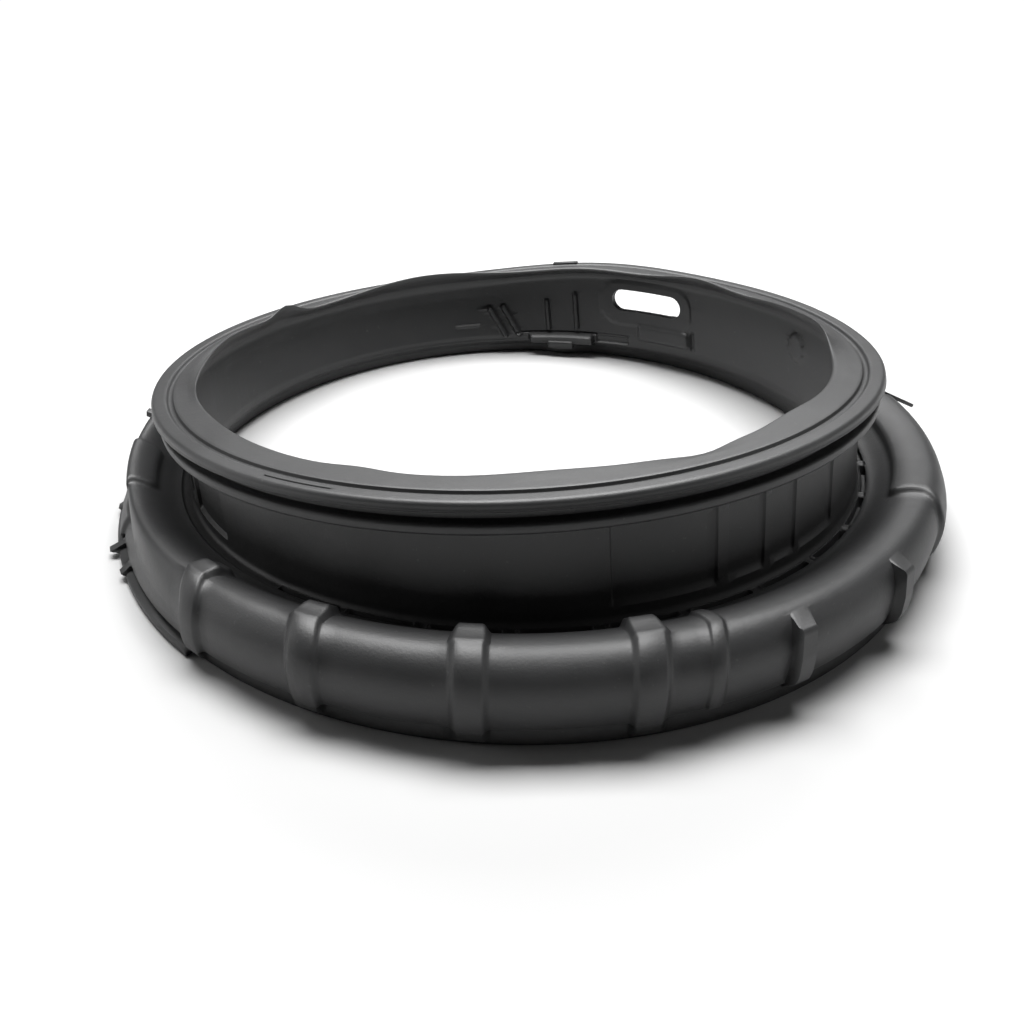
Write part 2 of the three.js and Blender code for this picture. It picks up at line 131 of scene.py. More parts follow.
# The corner points of every stretch of the section, up the outside, over the lip and down the inside.
def sectionStretches():
    face, neck, lowerLip = ring["faceHeight"], ring["neckRadius"], ring["lowerLip"]
    rimBottom = face - ring["rimHeight"]
    lipTop = rimBottom - ring["clampGap"]
    lipBottom = lipTop - ring["lowerLipHeight"]
    inside = neck - ring["wall"]
    valley, low = ring["valleyRadius"], ring["valleyHeight"]
    grooveStart, grooveFloor = ring["grooveRadius"], face - ring["grooveDepth"]
    grooveEnd = grooveStart + ring["grooveWidth"]
    lip, thin = ring["lipRadius"], ring["lipThickness"]
    beadCentre = (ring["faceRadius"] - ring["bead"], face - ring["bead"])
    rimIn, rimOut, rimLow, rimHigh = ease["rimBulge"]
    return {
        "foot": [(ring["footRadius"], 0), (ring["footRadius"] - ease["footTaper"], ring["footTop"]),
                 (ring["rollRadius"] - ease["footShoulder"][0], ring["footTop"] + ease["footShoulder"][1])],
        "roll": rollSkin(inset=0, outerSteps=30, innerSteps=20, lowAngle=-30, flankEnd=1),
        "valley": [(valley - ease["valleyEnd"], low), (neck + ease["valleyCorner"], low)],
        "neck": [(neck, low + ease["valleyCorner"]), (neck, lipBottom - ease["neckCorner"][1])],
        "under": [(neck + ease["neckCorner"][0], lipBottom - ease["lipDraught"]),
                  (lowerLip - ease["lipUnder"][0], lipBottom), (lowerLip, lipBottom + ease["lipUnder"][1]),
                  (lowerLip, lipTop - ease["lipOver"][1]), (lowerLip - ease["lipOver"][0], lipTop),
                  (ring["clampRadius"], lipTop + ease["lipDraught"]),
                  (ring["clampRadius"], rimBottom - ease["lipDraught"])],
        "rim": [(ring["faceRadius"] - rimIn, rimBottom), (ring["faceRadius"] + rimOut, rimBottom + rimLow),
                (ring["faceRadius"], rimBottom + rimHigh)],
        "bead": arcPoints(beadCentre, ring["bead"], ring["bead"], 0, 90, 6),
        "face": [*((flat, face) for flat in ring["faceFlat"]), (grooveEnd + ease["grooveEnd"][0], face),
                 (grooveEnd - ease["grooveEnd"][1], grooveFloor),
                 (grooveStart + ease["grooveStart"], grooveFloor), (grooveStart, face)],
        "lip": [(ring["lipRoot"], face), (lip + ease["lipNose"][0], face - ease["lipNose"][1]),
                (lip, face - thin / 2), (lip + ease["lipNose"][0], face - thin),
                (inside - ease["lipBack"][0], face - thin - ease["lipBack"][1])],
        "inside": [(inside, face - thin - ease["insideTop"]), (inside, low + ease["insideLow"]),
                   (inside + ease["insideBend"][0], low - ease["insideBend"][1]),
                   (inside + ease["insideEnd"][0], low - ease["insideEnd"][1])],
        "leg": [(ring["leg"], 0), (ring["leg"] + ring["legWidth"], 0),
                (valley + ease["legTop"][0], low - ring["wall"] - ease["legTop"][1])],
        "hollow": rollSkin(ring["wall"], outerSteps=7, innerSteps=4, lowAngle=-45, flankEnd=0.85)[::-1],
        "sole": [(ring["footRadius"] - ring["footWidth"], 0)],
    }


# The closed section as points, outward normals and the name of each point's stretch.
def sealSection():
    corners = []
    for name, points in sectionStretches().items():
        corners += [(name, Vector(point), *finish[name]) for point in points]
    rounded = []
    for i, (name, point, rounding, step) in enumerate(corners):
        before, after = corners[i - 1][1], corners[(i + 1) % len(corners)][1]
        share = ease["cutShare"]
        cut = min(rounding, share * (before - point).length, share * (after - point).length)
        if cut < ease["leastCut"]:
            rounded.append((name, point, step))
            continue
        start = point + cut * (before - point).normalized()
        end = point + cut * (after - point).normalized()
        for t in (0, 0.5, 1):
            rounded.append((name, start * (1 - t) ** 2 + point * 2 * t * (1 - t) + end * t * t, step))
    names, points = [], []
    for i, (name, point, step) in enumerate(rounded):
        following = rounded[(i + 1) % len(rounded)][1]
        parts = max(1, math.ceil((following - point).length / step))
        for part in range(parts):
            names.append(name)
            points.append(tuple(point.lerp(following, part / parts)))
    points = np.array(points)
    ahead = np.roll(points, -1, 0) - points
    behind = points - np.roll(points, 1, 0)
    along = ahead / np.linalg.norm(ahead, axis=1)[:, None] + behind / np.linalg.norm(behind, axis=1)[:, None]
    along /= np.linalg.norm(along, axis=1)[:, None]
    return np.array(names), points, np.stack([along[:, 1], -along[:, 0]], 1)


# Where a relief sits on a stretch: the radius that its width is measured at, and the place of every point
names, section, normals = sealSection()
reachOf = {"roll": 219.5, "valley": 182.0, "neck": 178.5, "face": 185.8, "inside": 174.5}
rollSteps = np.linalg.norm(np.diff(section[names == "roll"], axis=0), axis=1)
placeOf = {"roll": np.concatenate([[0], np.cumsum(rollSteps)]), "valley": section[names == "valley"][:, 0],
           "neck": section[names == "neck"][:, 1], "face": section[names == "face"][:, 0],
           "inside": section[names == "inside"][:, 1]}

# Bands over the roll: the straps stay level beyond the crown and end there as blocks, the collars are wide
straps = {
    "angles": (-130.8, -113.6, -95.8, -77.6, 40, 58, 76, 94, 112, 130, 148), "place": 21.5, "width": 13.2,
    "tall": 51, "rise": 2.5, "corner": 4.2, "edge": 3.6, "blockEnd": 198.5, "blockFront": 1.5,
    "blockTop": (34.2, 35.4, 36.2), "blockShare": 0.46, "blockReach": 200,
}
narrowStrap = {"angle": -70.4, "place": 21, "width": 6.5, "tall": 49, "rise": 1.2, "corner": 2.6, "edge": 2.0}
collars = ((-26, 22), (-173, -160))

# Pockets in the valley beside the neck, each a raised rim, a wide cell and a narrow one, with a bare stretch
pockets = {"count": 31, "first": -23.3, "bare": (-177, -119.6), "cells": (
    {"start": -9.9, "end": 0.5, "place": 182.3, "tall": 4.2, "rise": 0.6, "corner": 0.6, "edge": 0.6},
    {"start": -9.4, "end": 0, "place": 182.5, "tall": 2.6, "rise": -2.1, "corner": 0.5, "edge": 0.5},
    {"start": -1.4, "end": -0.2, "place": 182.5, "tall": 2.2, "rise": -1.6, "corner": 0.4, "edge": 0.5},
)}

# Sunk panels on the outside of the neck: from, to and depth, each with a sill at its foot
panels = {
    "spans": ((-78.4, -63.1, 1.1), (-61.1, -54.7, 1.1), (-53.3, -48.1, 1.1), (-46.9, -37.4, 1.1),
              (-151.8, -139.6, 1.5), (-158.6, -153.7, 1.5)),
    "panel": {"place": 39.6, "tall": 28.2, "corner": 1.0, "edge": 0.6},
    "sill": {"place": 24.9, "tall": 1.0, "rise": 0.7, "corner": 0.4, "edge": 0.7}, "sillInset": 0.2,
}
faceSlit = {"start": -123.2, "end": -112.8, "place": 185.8, "tall": 0.9, "rise": -1.5,
            "corner": 0.4, "edge": 0.45}

# Forms on the inside of the neck, by the height of their middle
slantedRib = {"width": 3.6, "tall": 28, "rise": 3.0, "corner": 1.4, "edge": 1.4, "slope": -22}
uprightRib = {"width": 2.8, "rise": 2.0, "corner": 1.2, "edge": 1.4}
insideForms = {
    "leftSlantedRib": {**slantedRib, "angle": 95.1, "place": 35},
    "rightSlantedRib": {**slantedRib, "angle": 91.9, "place": 35.3},
    "leftRib": {**uprightRib, "angle": 83.3, "place": 38.5, "tall": 23},
    "rightRib": {**uprightRib, "angle": 76.7, "place": 41, "tall": 26},
    "ledge": {"start": 73, "end": 88, "place": 20.8, "tall": 6.6, "rise": 4.6, "corner": 2, "edge": 2},
    "tab": {"start": 77.6, "end": 83.9, "place": 16.4, "tall": 9.4, "rise": 5.6, "corner": 2, "edge": 2},
    "sunkLine": {"start": 64.5, "end": 91, "place": 25.4, "tall": 1.4, "rise": -1.1,
                 "corner": 0.5, "edge": 0.8},
    "recess": {"start": 64.8, "end": 72.3, "place": 21.8, "tall": 5.2, "rise": -1.6,
               "corner": 1.4, "edge": 1.2},
    "slotPlateau": {"angle": 59.7, "place": 48.6, "width": 66, "tall": 29, "rise": 0.8,
                    "corner": 12, "edge": 1},
    "pad": {"start": 49.6, "end": 62, "place": 29.8, "tall": 10.2, "rise": 1.9, "corner": 2.4, "edge": 2.2},
    "padEnd": {"angle": 48.7, "place": 30.5, "width": 2.6, "tall": 12, "rise": -1.5,
               "corner": 1.2, "edge": 1.4},
    "raisedLine": {"start": 99.2, "end": 105, "place": 33.2, "tall": 1.8, "rise": 1.3,
                   "corner": 0.8, "edge": 1},
    "boss": {"angle": 18, "place": 51, "width": 15.6, "tall": 15.6, "rise": 1.5, "corner": 7.8, "edge": 1},
}


# One form on a stretch, with its middle and width worked out where it runs from one angle to another.
def relief(on, form, **changes):
    made = {"slope": 0.0, **form, **changes, "on": on}
    if "start" in made:
        made["angle"] = (made["start"] + made["end"]) / 2
        made["width"] = (made["end"] - made["start"]) * math.radians(1) * reachOf[on]
    return made


# All raised and sunk forms.
def sealReliefs():
    forms = [relief("roll", straps, angle=angle) for angle in straps["angles"]]
    forms.append(relief("roll", narrowStrap))
    forms += [relief("roll", straps, start=start, end=end) for start, end in collars]
    for i in range(pockets["count"]):
        first = pockets["first"] - i * 360 / pockets["count"]
        if pockets["bare"][0] <= first <= pockets["bare"][1]:
            continue
        for cell in pockets["cells"]:
            forms.append(relief("valley", cell, start=first + cell["start"], end=first + cell["end"]))
    inset = panels["sillInset"]
    for start, end, deep in panels["spans"]:
        forms.append(relief("neck", panels["panel"], start=start, end=end, rise=-deep))
        forms.append(relief("neck", panels["sill"], start=start + inset, end=end - inset))
    forms.append(relief("face", faceSlit))
    return forms + [relief("inside", form) for form in insideForms.values()]


# Forms pushed straight out from the roll and the foot, each to its own line of heights and radii
pushed = {
    "reach": 219, "spanReach": 218, "clear": 3,
    "strapFoot": [(1.2, 214.6), (1.8, 216.0), (4.6, 218.5), (6.8, 219.8), (7.8, 219.9)],
}
fins = {"angles": (-60.2, -42.6), "width": 8.8, "edge": 1.5, "line": [
    (4, 214.5), (9, 222.5), (12, 223.8), (18.5, 223.8), (29.8, 222.2), (31.3, 221.2), (31.9, 219.4)]}
footFlange = {"angle": -153, "span": 42, "edge": 3.0, "line": [(0, 219), (3.6, 219), (4.2, 218.4)]}
wedges = {"reaches": {-158: 5, -152: 2.5, -169: 2}, "width": 6, "edge": 1.2,
          "low": (0.5, 214.5), "tip": (4, 219), "high": (7.6, 217.8)}


def pushedForms():
    band = {"edge": straps["edge"], "line": pushed["strapFoot"]}
    forms = [{**band, "angle": angle, "width": straps["width"]} for angle in straps["angles"]]
    for start, end in collars:
        width = math.radians(end - start) * pushed["spanReach"]
        forms.append({**band, "angle": (start + end) / 2, "width": width})
    forms += [{**fins, "angle": angle} for angle in fins["angles"]]
    forms.append({**footFlange, "width": math.radians(footFlange["span"]) * pushed["spanReach"]})
    for angle, reach in wedges["reaches"].items():
        tip = (wedges["tip"][0], wedges["tip"][1] + reach)
        forms.append({**wedges, "angle": angle, "line": [wedges["low"], tip, wedges["high"]]})
    return forms


reliefs = sealReliefs()
pushes = pushedForms()

# Columns of the grid, in degrees, and the steps beside a form's edge, in widths of its soft edge
grid = {
    "even": 1.6, "slanted": 0.42, "closest": 0.12, "clear": 0.8, "widest": 1.9, "change": 1e-3,
    "roundCorner": 5, "sharpSteps": (-0.8, 0, 0.8), "sharpStretches": ("valley", "neck", "face"),
    "softSteps": (-1.2, -0.5, -0.25, 0.0, 0.25, 0.5), "pushedSteps": (-0.5, -0.2, 0.1, 0.5),
}


# Angles round the ring: an even set, closer together where a form begins or ends.
def ringAngles():
    even = np.arange(-180, 180, grid["even"])
    close = []
    for form in reliefs:
        degree = 1 / (math.radians(1) * reachOf[form["on"]])
        lean = abs(math.tan(math.radians(form["slope"]))) * form["tall"] / 2
        half = (form["width"] / 2 + lean) * degree
        if form["slope"] or form["corner"] > grid["roundCorner"]:
            close += list(np.arange(form["angle"] - half, form["angle"] + half, grid["slanted"]))
            continue
        steps = grid["sharpSteps"] if form["on"] in grid["sharpStretches"] else grid["softSteps"]
        for side in (-1, 1):
            close += [form["angle"] + side * (half + step * degree * form["edge"]) for step in steps]
    for form in pushes:
        degree = 1 / (math.radians(1) * pushed["reach"])
        for side in (-1, 1):
            close += [form["angle"] + side * (form["width"] / 2 + step * form["edge"]) * degree
                      for step in grid["pushedSteps"]]
    close = np.unique(np.round((np.array(close) + 180) % 360 - 180, 2))
    kept = [close[0]]
    for angle in close[1:]:
        if angle - kept[-1] > grid["closest"]:
            kept.append(angle)
    gap = np.array([np.min(np.abs(np.array(kept) - angle)) for angle in even])
    return np.sort(np.concatenate([kept, even[gap > grid["clear"]]]))


def smooth(value):
    t = np.clip(value, 0, 1)
    return t * t * (3 - 2 * t)


# Distance round the ring from an angle, in mm at a radius.
def distanceRound(angles, angle, reach):
    return ((angles - angle + 180) % 360 - 180) * math.radians(1) * reach


# How far every grid point stands out along its normal.
def reliefField(angles):
    raised = np.zeros((len(section), len(angles)))
    sunk = np.zeros_like(raised)
    for form in reliefs:
        rows = np.flatnonzero(names == form["on"])
        apart = distanceRound(angles, form["angle"], reachOf[form["on"]])
        across, upward = np.meshgrid(apart, placeOf[form["on"]] - form["place"])
        turn = math.radians(form["slope"])
        across, upward = (across * math.cos(turn) + upward * math.sin(turn),
                          upward * math.cos(turn) - across * math.sin(turn))
        corner = min(form["corner"], form["width"] / 2, form["tall"] / 2)
        overX = np.abs(across) - form["width"] / 2 + corner
        overY = np.abs(upward) - form["tall"] / 2 + corner
        distance = (np.hypot(np.maximum(overX, 0), np.maximum(overY, 0))
                    + np.minimum(np.maximum(overX, overY), 0) - corner)
        share = smooth(0.5 - distance / form["edge"])
        if form["rise"] > 0:
            raised[rows] = np.maximum(raised[rows], form["rise"] * share)
        else:
            sunk[rows] += form["rise"] * share
    return raised + sunk


# Radii of all grid points once the forms on the roll and the foot are pushed out.
def pushedOut(angles, radius):
    beyond = section[:, 0] > ring["crownRadius"] + pushed["clear"]
    outside = np.flatnonzero(((names == "foot") | (names == "roll")) & beyond)
    for form in pushes:
        apart = np.abs(distanceRound(angles, form["angle"], pushed["reach"]))
        share = smooth(0.5 - (apart - form["width"] / 2) / form["edge"])
        heights, radii = zip(*form["line"])
        target = np.interp(section[outside, 1], heights, radii, left=0, right=0)[:, None]
        radius[outside] += share * np.maximum(0, target - radius[outside])
    return radius


# Heights of all grid points once the straps stay level beyond the crown and end there as blocks.
def levelStraps(angles, height):
    inner, outer = straps["blockEnd"], ring["crownRadius"] + 1
    block = np.flatnonzero((names == "roll") & (section[:, 0] > inner) & (section[:, 0] < outer))
    front = inner + straps["blockFront"]
    top = np.interp(section[block, 0], (inner, front, outer), straps["blockTop"])[:, None]
    for angle in straps["angles"]:
        apart = np.abs(distanceRound(angles, angle, straps["blockReach"]))
        share = smooth(0.5 - (apart - straps["width"] * straps["blockShare"]) / straps["edge"])
        height[block] += share * np.maximum(0, top - height[block])
    return height


# Faces of the grid: a column crosses a row only where the section changes there, and at every even step.
def thinnedFaces(angles, radius, height):
    rows, columns = radius.shape
    step = np.abs(np.roll(radius, -1, 1) - radius) + np.abs(np.roll(height, -1, 1) - height) > grid["change"]
    changes = step | np.roll(step, 1, 1)
    even = np.zeros(columns, bool)
    last = -math.inf
    for column in range(columns):
        if column == columns - 1 or angles[column + 1] - last > grid["widest"]:
            even[column] = True
            last = angles[column]
    crossed = changes | np.roll(changes, -1, 0) | even
    used = crossed | np.roll(crossed, 1, 0)
    faces = []
    for row in range(rows):
        above = (row + 1) % rows
        ends = np.flatnonzero(crossed[row])
        for start, end in zip(ends, [*ends[1:], ends[0] + columns]):
            between = np.arange(start, end + 1) % columns
            low = between[used[row][between]]
            high = between[used[above][between]][::-1]
            faces.append([*(row * columns + low).tolist(), *(above * columns + high).tolist()])
    return faces


# Small strips of rubber let into the ring: at a radius, an angle and a height, with size and slope
chips = [
    {"radius": 217.3, "angle": 175, "height": 29.3, "size": (9, 5, 3), "slope": -12},
    {"radius": 218.7, "angle": 8.5, "height": 30.7, "size": (25.8, 1.8, 2.2), "slope": 24},
    {"radius": 185.7, "angle": 79, "height": 71.2, "size": (4.5, 17, 2.6), "slope": 0},
]
chipBevel = {"offset": 0.4, "segments": 2, "profile": 0.5}


def addChip(mesh, chip):
    made = bmesh.ops.create_cube(mesh, size=1)["verts"]
    bmesh.ops.scale(mesh, verts=made, vec=chip["size"])
    edges = list({edge for vertex in made for edge in vertex.link_edges})
    bevelled = bmesh.ops.bevel(mesh, geom=edges, affect="EDGES", **chipBevel)["verts"]
    place = (Matrix.Rotation(math.radians(chip["angle"]), 4, "Z")
             @ Matrix.Translation((chip["radius"], 0, chip["height"]))
             @ Matrix.Rotation(math.radians(chip["slope"]), 4, "Y"))
    bmesh.ops.transform(mesh, matrix=place, verts=bevelled)


# A mesh without loose points whose faces look outwards, with any strips let into it.
def outwardMesh(label, points, faces, strips=()):
    data = bpy.data.meshes.new(label)
    data.from_pydata(points, [], faces)
    mesh = bmesh.new()
    mesh.from_mesh(data)
    loose = [vertex for vertex in mesh.verts if not vertex.link_faces]
    bmesh.ops.delete(mesh, geom=loose, context="VERTS")
    for strip in strips:
        addChip(mesh, strip)
    bmesh.ops.recalc_face_normals(mesh, faces=mesh.faces)
    mesh.to_mesh(data)
    mesh.free()
    return data


# The true ring as one closed grid, with the chips let into it.
def trueRing():
    angles = ringAngles()
    rise = reliefField(angles)
    radius = pushedOut(angles, section[:, :1] + normals[:, :1] * rise)
    height = levelStraps(angles, section[:, 1:] + normals[:, 1:] * rise)
    turn = np.radians(angles)
    points = np.stack([radius * np.cos(turn), radius * np.sin(turn), height], -1).reshape(-1, 3).tolist()
    data = outwardMesh("trueRing", points, thinnedFaces(angles, radius, height), chips)
    rows, columns = rise.shape
    print("stage: true ring", rows, "by", columns, "and", len(data.polygons), "faces")
    return data


# Slot that is cut straight through the wall, with rounded ends
slot = {"angle": 59.7, "height": 50.5, "length": 50.0, "width": 14.2, "from": 161.0, "to": 199.0, "steps": 14}


def slotCutter():
    half, bend = slot["length"] / 2 - slot["width"] / 2, slot["width"] / 2
    ends = ([(half, a) for a in np.linspace(-90, 90, slot["steps"])]
            + [(-half, a) for a in np.linspace(90, 270, slot["steps"])])
    outline = [(shift + bend * math.cos(math.radians(a)), bend * math.sin(math.radians(a)))
               for shift, a in ends]
    turn = Matrix.Rotation(math.radians(slot["angle"]), 4, "Z")
    points = [turn @ Vector((radius, across, slot["height"] + up))
              for radius in (slot["from"], slot["to"]) for across, up in outline]
    count = len(outline)
    faces = [tuple(range(count))[::-1], tuple(range(count, 2 * count))]
    faces += [(i, (i + 1) % count, count + (i + 1) % count, count + i) for i in range(count)]
    return addObject("slotCutter", outwardMesh("slotCutter", points, faces))


# A number that flows through a node tree, so that a formula can be written as it reads.
class Field:
    def __init__(self, tree, socket):
        self.tree, self.socket = tree, socket

    def made(self, operation, *others, clamp=False):
        node = self.tree.nodes.new("ShaderNodeMath")
        node.operation = operation
        node.use_clamp = clamp
        for socket, value in zip(node.inputs, (self, *others)):
            if isinstance(value, Field):
                self.tree.links.new(value.socket, socket)
            else:
                socket.default_value = value
        return Field(self.tree, node.outputs[0])

    def __add__(self, other):
        return self.made("ADD", other)

    def __sub__(self, other):
        return self.made("SUBTRACT", other)

    def __mul__(self, other):
        return self.made("MULTIPLY", other)

    def __truediv__(self, other):
        return self.made("DIVIDE", other)

    def less(self):
        return (self * -1) + 1

    def share(self, low, high):
        return (self - low).made("DIVIDE", high - low, clamp=True)


# The sum of one measure of soft waves, each highest at its own angle.
def humps(direction, waves, measure):
    total = None
    for wave in waves:
        if not wave.get(measure):
            continue
        turn = math.radians(wave["angle"])
        near = direction[0] * math.cos(turn) + direction[1] * math.sin(turn)
        apart = near.made("MINIMUM", 1).made("MAXIMUM", -1).made("ARCCOSINE") / math.radians(wave["spread"])
        hump = (apart * apart * -1).made("EXPONENT") * wave[measure]
        total = hump if total is None else total + hump
    return total


# The tree that cuts the slot and settles the true ring: it leans, tilts and waves.
def settleTree():
    tree = bpy.data.node_groups.new("Settle Seal", "GeometryNodeTree")
    for label, kind in (("Geometry", "NodeSocketGeometry"), ("Cutter", "NodeSocketObject"),
                        ("Rubber", "NodeSocketMaterial"), ("Face Lean", "NodeSocketVector"),
                        ("Face Tilt", "NodeSocketVector"), ("Valley Tilt", "NodeSocketVector"),
                        ("Roll Tilt", "NodeSocketVector"), ("Centre", "NodeSocketVector"),
                        ("Crown Twist", "NodeSocketFloat")):
        tree.interface.new_socket(label, in_out="INPUT", socket_type=kind)
    tree.interface.new_socket("Geometry", in_out="OUTPUT", socket_type="NodeSocketGeometry")
    new, link = tree.nodes.new, tree.links.new
    given = new("NodeGroupInput")
    position = new("ShaderNodeSeparateXYZ")
    link(new("GeometryNodeInputPosition").outputs[0], position.inputs[0])
    x, y, z = (Field(tree, socket) for socket in position.outputs)

    def pair(label):
        split = new("ShaderNodeSeparateXYZ")
        link(given.outputs[label], split.inputs[0])
        return Field(tree, split.outputs[0]), Field(tree, split.outputs[1])

    radius = (x * x + y * y).made("SQRT")
    toward = (x / radius, y / radius)
    below = z.made("LESS_THAN", soft["stiffHeight"] - soft["stiffEase"])
    rising = radius.share(ring["valleyRadius"], ring["crownRadius"])
    onRoll = rising * rising * (rising * -2 + 3) * below
    onNeck = onRoll.less()
    upNeck = z.share(ring["valleyHeight"], soft["stiffHeight"])
    slopes = []
    for axis in (0, 1):
        neck = z.share(0, ring["valleyHeight"]) * pair("Valley Tilt")[axis]
        neck = neck + (pair("Face Tilt")[axis] - neck) * upNeck
        roll = z.share(0, ring["rollMiddle"]) * pair("Roll Tilt")[axis]
        slopes.append(neck + (roll - neck) * onRoll)
    lean = onNeck * z.share(ring["rollMiddle"], ring["faceHeight"])
    outwards = radius.share(ring["valleyRadius"], ring["rollRadius"]) * below
    upRoll = z.share(0, ring["crownHeight"])
    above = z.made("GREATER_THAN", soft["stiffHeight"])
    onLip = radius.share(ring["lipRadius"], ring["lipRoot"]).less() * above
    lowRoll = z.share(ring["footHeight"], ring["rollMiddle"])
    legEnd = ring["leg"] + ring["legWidth"] + soft["legClear"]
    withinLeg = radius.share(legEnd, legEnd + ring["wall"]).less()
    onLeg = z.share(0, ring["valleyHeight"]).less() * withinLeg * below
    upCurl = z.share(soft["stiffHeight"], soft["curlTop"])
    onCurl = radius.share(ring["lipRadius"], ring["grooveRadius"]).less() * upCurl
    reach = (onLip * humps(toward, soft["lipWaves"], "reach")
             + onLeg * humps(toward, soft["legWaves"], "reach")
             + outwards * lowRoll * humps(toward, soft["rollWaves"], "reach")
             + (outwards * math.pi).made("SINE") * upRoll * humps(toward, soft["rollWaves"], "crown"))
    lift = (onCurl * onCurl * humps(toward, soft["lipCurls"], "lift")
            + onNeck * upNeck * humps(toward, soft["faceWaves"], "lift")
            + onRoll * upRoll * humps(toward, soft["rollWaves"], "lift"))
    askew = toward[0] * toward[1] * -2 * y.made("LESS_THAN", 0) * Field(tree, given.outputs["Crown Twist"])
    withinCrown = radius.share(ring["crownRadius"], ring["rollRadius"]).less()
    turn = askew * math.radians(1) * onRoll * withinCrown
    leans, centre = pair("Face Lean"), pair("Centre")
    settled = new("ShaderNodeCombineXYZ")
    for socket, value in zip(settled.inputs, (
            x + reach * toward[0] - turn * y + lean * leans[0] + centre[0],
            y + reach * toward[1] + turn * x + lean * leans[1] + centre[1],
            z + slopes[0] * x + slopes[1] * y + lift)):
        link((value * millimetre).socket, socket)

    cutter = new("GeometryNodeObjectInfo")
    cut = new("GeometryNodeMeshBoolean")
    cut.operation, cut.solver = "DIFFERENCE", "MANIFOLD"
    move, shade = new("GeometryNodeSetPosition"), new("GeometryNodeSetShadeSmooth")
    realize, rubber = new("GeometryNodeRealizeInstances"), new("GeometryNodeSetMaterial")
    link(given.outputs["Cutter"], cutter.inputs[0])
    link(given.outputs["Geometry"], cut.inputs[0])
    link(cutter.outputs["Geometry"], cut.inputs[1])
    link(cut.outputs[0], move.inputs["Geometry"])
    link(settled.outputs[0], move.inputs["Position"])
    link(move.outputs[0], shade.inputs[0])
    link(shade.outputs[0], realize.inputs[0])
    link(realize.outputs[0], rubber.inputs["Geometry"])
    link(given.outputs["Rubber"], rubber.inputs["Material"])
    link(rubber.outputs[0], new("NodeGroupOutput").inputs[0])
    return tree


def giveInputs(modifier, values):
    for item in modifier.node_group.interface.items_tree:
        if item.item_type == "SOCKET" and item.in_out == "INPUT" and item.name in values:
            modifier[item.identifier] = values[item.name]


# The finished mesh of an object with its modifiers applied.
def baked(thing, label):
    data = bpy.data.meshes.new_from_object(thing.evaluated_get(bpy.context.evaluated_depsgraph_get()))
    thing.modifiers.clear()
    bpy.data.objects.remove(thing)
    return addObject(label, data)


# Matte charcoal rubber: slight mottling, fine grain, a few specks of dust and paler worn edges.
# A range is where its pattern starts and ends and what it gives there, and a bump is its strength and depth.
rubberLook = {
    "colour": (0.0125, 0.0127, 0.0132), "pale": (0.022, 0.0223, 0.0231), "dust": (0.06, 0.059, 0.057),
    "specular": 0.6, "roughnessRange": (0.3, 0.7, 0.47, 0.55), "wornRange": (0.515, 0.60, 0, 0.45),
    "mottle": {"Scale": 16.0, "Detail": 5, "Roughness": 0.6}, "mottleRange": (0.35, 0.7, 0, 0.5),
    "specks": {"Scale": 420, "Detail": 2, "Roughness": 0.5}, "speckRange": (0.70, 0.76, 0, 0.35),
    "grain": {"Scale": 900.0, "Detail": 3, "Roughness": 0.7}, "grainBump": (0.22, 0.0004),
    "waves": {"Scale": 60, "Detail": 3, "Roughness": 0.5}, "waveBump": (0.25, 0.0012),
}


def rubberMaterial():
    material = bpy.data.materials.new("rubber")
    material.use_nodes = True
    tree = material.node_tree
    new, link = tree.nodes.new, tree.links.new
    shader = tree.nodes["Principled BSDF"]
    place = new("ShaderNodeTexCoord").outputs["Object"]

    def noise(pattern):
        node = new("ShaderNodeTexNoise")
        setInputs(node, rubberLook[pattern])
        link(place, node.inputs["Vector"])
        return node.outputs[0]

    def ranged(value, name):
        node = new("ShaderNodeMapRange")
        setInputs(node, dict(zip(("From Min", "From Max", "To Min", "To Max"), rubberLook[name])))
        link(value, node.inputs["Value"])
        return node.outputs[0]

    def mixed(share, first, second):
        node = new("ShaderNodeMix")
        node.data_type = "RGBA"
        link(share, node.inputs[0])
        for socket, value in ((node.inputs[6], first), (node.inputs[7], second)):
            if isinstance(value, tuple):
                socket.default_value = (*value, 1)
            else:
                link(value, socket)
        return node.outputs[2]

    def bumped(height, name):
        node = new("ShaderNodeBump")
        setInputs(node, dict(zip(("Strength", "Distance"), rubberLook[name])))
        link(height, node.inputs["Height"])
        return node

    edge = new("ShaderNodeNewGeometry").outputs["Pointiness"]
    mottle = noise("mottle")
    body = mixed(ranged(mottle, "mottleRange"), rubberLook["colour"], rubberLook["pale"])
    body = mixed(ranged(edge, "wornRange"), body, rubberLook["pale"])
    body = mixed(ranged(noise("specks"), "speckRange"), body, rubberLook["dust"])
    link(body, shader.inputs["Base Color"])
    link(ranged(mottle, "roughnessRange"), shader.inputs["Roughness"])
    shader.inputs["Specular IOR Level"].default_value = rubberLook["specular"]
    grain, waves = bumped(noise("grain"), "grainBump"), bumped(noise("waves"), "waveBump")
    link(grain.outputs[0], waves.inputs["Normal"])
    link(waves.outputs[0], shader.inputs["Normal"])
    return material


# Points closer than this, in metres, become one, and edges steeper than this, in degrees, stay sharp
sealMesh = {"merge": 1e-6, "sharp": 38}


